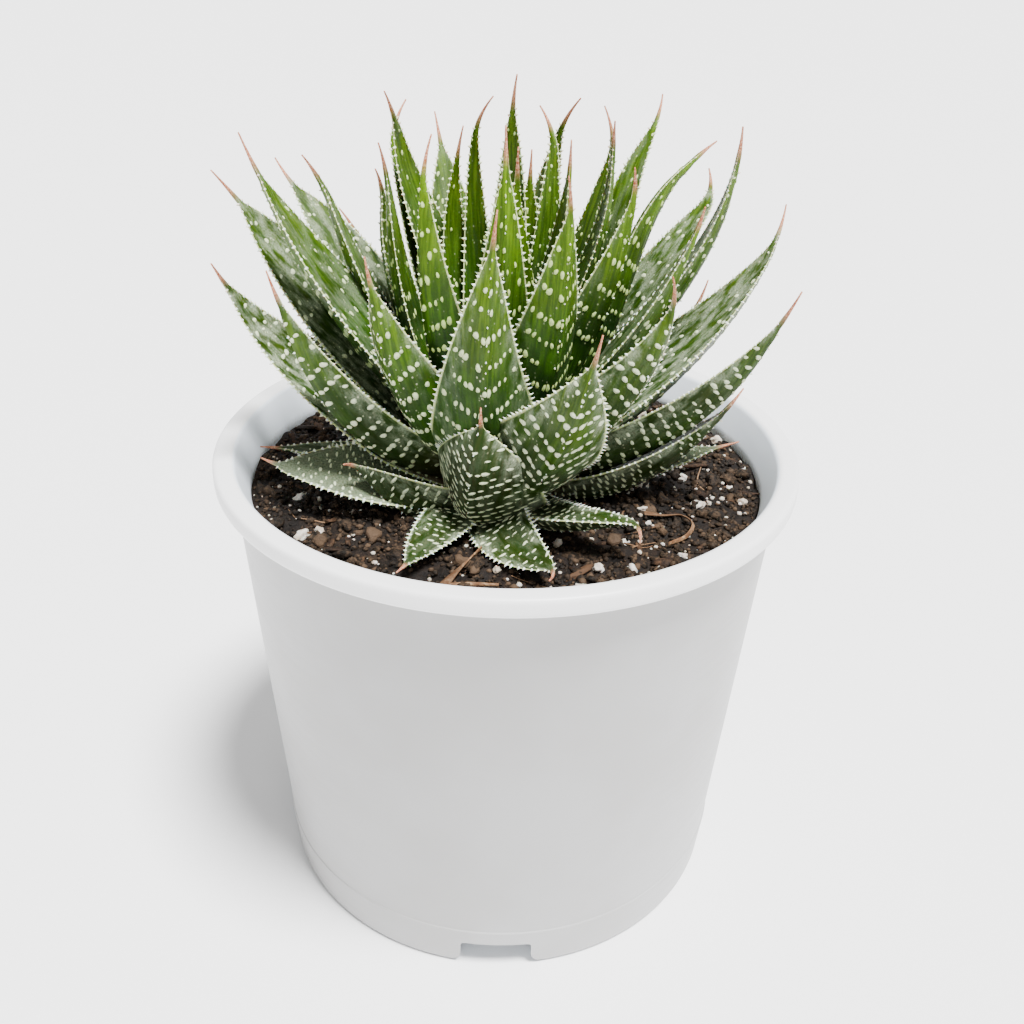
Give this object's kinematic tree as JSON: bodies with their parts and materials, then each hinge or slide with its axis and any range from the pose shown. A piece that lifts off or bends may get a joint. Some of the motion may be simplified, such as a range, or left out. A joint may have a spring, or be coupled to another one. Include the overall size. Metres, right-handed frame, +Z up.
{
  "type": "potted lace aloe",
  "caption": "Rosette of thick keeled aloe leaves with toothed edges and dry tips, growing in dark soil in a round tapered plastic nursery pot.",
  "frame": {"origin": "middle of the pot's foot ring, on the surface that it stands on", "axes": "+Z up along the pot's axis, -Y towards the front of the plant, +X to its right"},
  "size_m": [0.13, 0.13, 0.1872],
  "materials": {
    "pot_plastic": "satin white moulded plastic",
    "soil": "dark bark and peat mix with cream perlite",
    "leaf_green": "waxy green with pale raised spots and white teeth",
    "withered_leaf": "dry brown papery leaf"
  },
  "bodies": {
    "root": {"pot": "pot_plastic", "soil": "soil", "heart": "leaf_green", "leaf_01": "leaf_green", "leaf_02": "leaf_green", "leaf_03": "leaf_green", "leaf_04": "leaf_green", "leaf_05": "leaf_green", "leaf_06": "leaf_green", "leaf_07": "leaf_green", "leaf_08": "leaf_green", "leaf_09": "leaf_green", "leaf_10": "leaf_green", "leaf_11": "leaf_green", "leaf_12": "leaf_green", "leaf_13": "leaf_green", "leaf_14": "leaf_green", "leaf_15": "leaf_green", "leaf_16": "leaf_green", "leaf_17": "leaf_green", "leaf_18": "leaf_green", "leaf_19": "leaf_green", "leaf_20": "leaf_green", "leaf_21": "leaf_green", "leaf_22": "leaf_green", "leaf_23": "leaf_green", "leaf_24": "leaf_green", "leaf_25": "leaf_green", "leaf_26": "leaf_green", "leaf_27": "leaf_green", "leaf_28": "leaf_green", "leaf_29": "leaf_green", "leaf_30": "leaf_green", "leaf_31": "leaf_green", "leaf_32": "leaf_green", "leaf_33": "leaf_green", "leaf_34": "leaf_green", "leaf_35": "leaf_green", "leaf_36": "leaf_green", "leaf_37": "leaf_green", "leaf_38": "leaf_green", "leaf_39": "leaf_green", "leaf_40": "leaf_green", "leaf_41": "leaf_green", "leaf_42": "leaf_green", "leaf_43": "leaf_green", "leaf_44": "leaf_green", "leaf_45": "leaf_green", "leaf_46": "leaf_green", "leaf_47": "leaf_green", "leaf_48": "leaf_green", "leaf_49": "leaf_green", "leaf_50": "leaf_green", "leaf_51": "leaf_green", "leaf_52": "leaf_green", "leaf_53": "leaf_green", "leaf_54": "leaf_green", "withered_leaf_1": "withered_leaf", "withered_leaf_2": "withered_leaf"}
  },
  "joints": []
}
